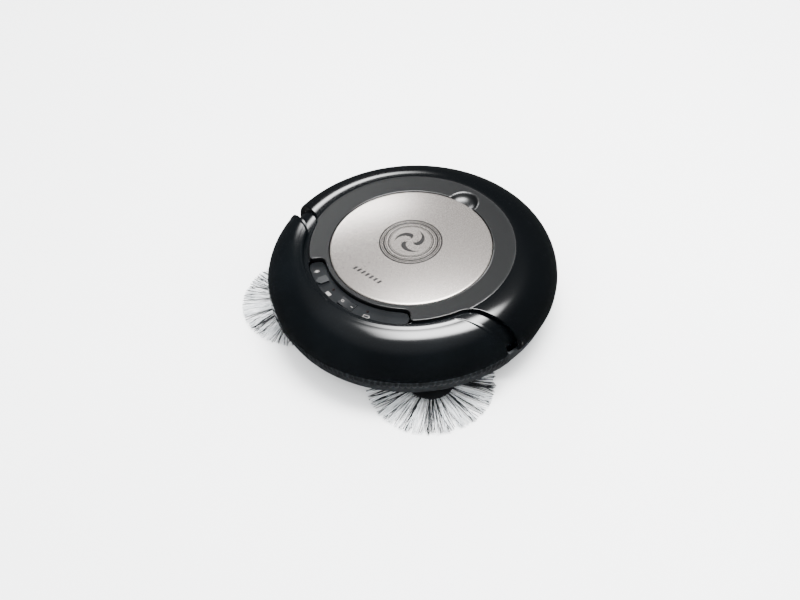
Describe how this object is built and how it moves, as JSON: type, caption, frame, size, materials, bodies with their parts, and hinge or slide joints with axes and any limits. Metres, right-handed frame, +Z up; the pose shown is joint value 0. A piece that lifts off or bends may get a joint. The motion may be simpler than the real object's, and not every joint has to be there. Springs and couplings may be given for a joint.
{
  "type": "robotic floor cleaner",
  "caption": "Low round robotic floor cleaner with a sliding front bumper, side brushes, a domed lid over a lift-out dust bin, driven wheels and a caster.",
  "frame": {"origin": "on the floor, under the centre of the round body", "axes": "+Z up, the bumper faces -Y, +X to the machine's own left"},
  "size_m": [0.311, 0.302, 0.0868],
  "materials": {
    "gloss_shell": "glossy moulded ABS",
    "satin_shell": "satin moulded ABS",
    "base_plastic": "fine textured ABS",
    "lid_paint": "satin warm silver paint",
    "rubber": "matt",
    "black_plastic": "matt",
    "steel": "turned and plated",
    "smoked_plastic": "clear smoked",
    "filter_paper": "pleated",
    "circuit_board": "solder mask",
    "battery_wrap": "shrink sleeve",
    "nylon_bristle": "mixed black and clear filaments",
    "lamp_lens": "clear tinted",
    "tyre_rubber": "matt"
  },
  "bodies": {
    "base": {"base_chassis": "base_plastic", "top_cover": "gloss_shell", "shoulder_housing": "satin_shell", "lid_hinge_pin": "steel", "inner_deck": "black_plastic", "fan_housing": "black_plastic", "fan_motor": "steel", "suction_duct": "black_plastic", "squeegee_blade": "rubber", "control_panel": "black_plastic", "jack_socket": "black_plastic", "charge_lamp": "lamp_lens", "battery_lamp": "lamp_lens", "main_board": "circuit_board", "battery_pack": "battery_wrap", "battery_door": "base_plastic", "battery_door_screw": "steel", "cliff_sensor_right": "black_plastic", "cliff_sensor_left": "black_plastic", "cliff_sensor_rear": "black_plastic", "base_screw_front_right": "steel", "base_screw_front_left": "steel", "base_screw_rear_right": "steel", "base_screw_rear_left": "steel", "caster_socket": "base_plastic", "wheel_well_left": "base_plastic", "suspension_pin_left": "steel", "suspension_spring_left": "steel", "bumper_switch_left": "black_plastic", "brush_motor_left": "black_plastic", "wheel_well_right": "base_plastic", "suspension_pin_right": "steel", "suspension_spring_right": "steel", "bumper_switch_right": "black_plastic", "brush_motor_right": "black_plastic"},
    "bumper": {"front_bumper": "gloss_shell", "bumper_trim": "rubber"},
    "lid": {"lid_disc": "lid_paint"},
    "bin": {"dust_bin": "smoked_plastic", "filter_frame": "black_plastic", "filter_pleats": "filter_paper"},
    "rocker": {"power_rocker": "black_plastic"},
    "flap": {"jack_flap": "rubber"},
    "fan_rotor": {"fan_impeller": "satin_shell"},
    "caster_swivel": {"caster_fork": "black_plastic", "caster_axle": "steel"},
    "caster_roller": {"caster_wheel": "tyre_rubber"},
    "suspension_left": {"wheel_arm_left": "black_plastic"},
    "wheel_left": {"wheel_hub_left": "satin_shell", "wheel_tyre_left": "tyre_rubber"},
    "brush_left": {"brush_hub_left": "black_plastic", "brush_bristles_left": "nylon_bristle", "brush_screw_left": "steel"},
    "suspension_right": {"wheel_arm_right": "black_plastic"},
    "wheel_right": {"wheel_hub_right": "satin_shell", "wheel_tyre_right": "tyre_rubber"},
    "brush_right": {"brush_hub_right": "black_plastic", "brush_bristles_right": "nylon_bristle", "brush_screw_right": "steel"}
  },
  "joints": [
    {"name": "bumper_slide", "type": "slide", "parent": "base", "child": "bumper", "axis": [0, 1, 0], "range_m": [0, 0.004], "stiffness_N_per_m": 600, "springref_m": -0.003},
    {"name": "lid_hinge", "type": "hinge", "parent": "base", "child": "lid", "pos_m": [0, -0.0784, 0.07915], "axis": [1, 0, 0], "range_deg": [0, 80]},
    {"name": "bin_lift", "type": "slide", "parent": "base", "child": "bin", "axis": [0, 0, 1], "range_m": [0, 0.062]},
    {"name": "rocker_tilt", "type": "hinge", "parent": "base", "child": "rocker", "pos_m": [0.00207, -0.09898, 0.074], "axis": [0.0209, -0.9998, 0], "range_deg": [0, 14]},
    {"name": "flap_hinge", "type": "hinge", "parent": "base", "child": "flap", "pos_m": [-0.03716, -0.08547, 0.0766], "axis": [0.9171, -0.3987, 0], "range_deg": [-100, 0]},
    {"name": "fan_spin", "type": "hinge", "parent": "base", "child": "fan_rotor", "pos_m": [0, 0.101, 0.03], "axis": [0, 0, 1], "continuous": true},
    {"name": "caster_turn", "type": "hinge", "parent": "base", "child": "caster_swivel", "pos_m": [0, -0.106, 0.03], "axis": [0, 0, 1], "continuous": true},
    {"name": "caster_roll", "type": "hinge", "parent": "caster_swivel", "child": "caster_roller", "pos_m": [0, -0.099, 0.011], "axis": [1, 0, 0], "continuous": true},
    {"name": "suspension_left", "type": "hinge", "parent": "base", "child": "suspension_left", "pos_m": [0.1, 0.05, 0.034], "axis": [1, 0, 0], "range_deg": [0, 10], "stiffness_Nm_per_rad": 0.12, "springref_deg": 63.03},
    {"name": "wheel_spin_left", "type": "hinge", "parent": "suspension_left", "child": "wheel_left", "pos_m": [0.115, 0.014, 0.032], "axis": [1, 0, 0], "continuous": true},
    {"name": "brush_spin_left", "type": "hinge", "parent": "base", "child": "brush_left", "pos_m": [0.0895, -0.0775, 0.007], "axis": [0, 0, 1], "continuous": true},
    {"name": "suspension_right", "type": "hinge", "parent": "base", "child": "suspension_right", "pos_m": [-0.1, 0.05, 0.034], "axis": [1, 0, 0], "range_deg": [0, 10], "stiffness_Nm_per_rad": 0.12, "springref_deg": 63.03},
    {"name": "wheel_spin_right", "type": "hinge", "parent": "suspension_right", "child": "wheel_right", "pos_m": [-0.115, 0.014, 0.032], "axis": [1, 0, 0], "continuous": true},
    {"name": "brush_spin_right", "type": "hinge", "parent": "base", "child": "brush_right", "pos_m": [-0.0895, -0.0775, 0.007], "axis": [0, 0, 1], "continuous": true}
  ],
  "couplings": [
    {"joint": "bin_lift", "follows": "lid_hinge", "m_per_rad": 0.043}
  ]
}
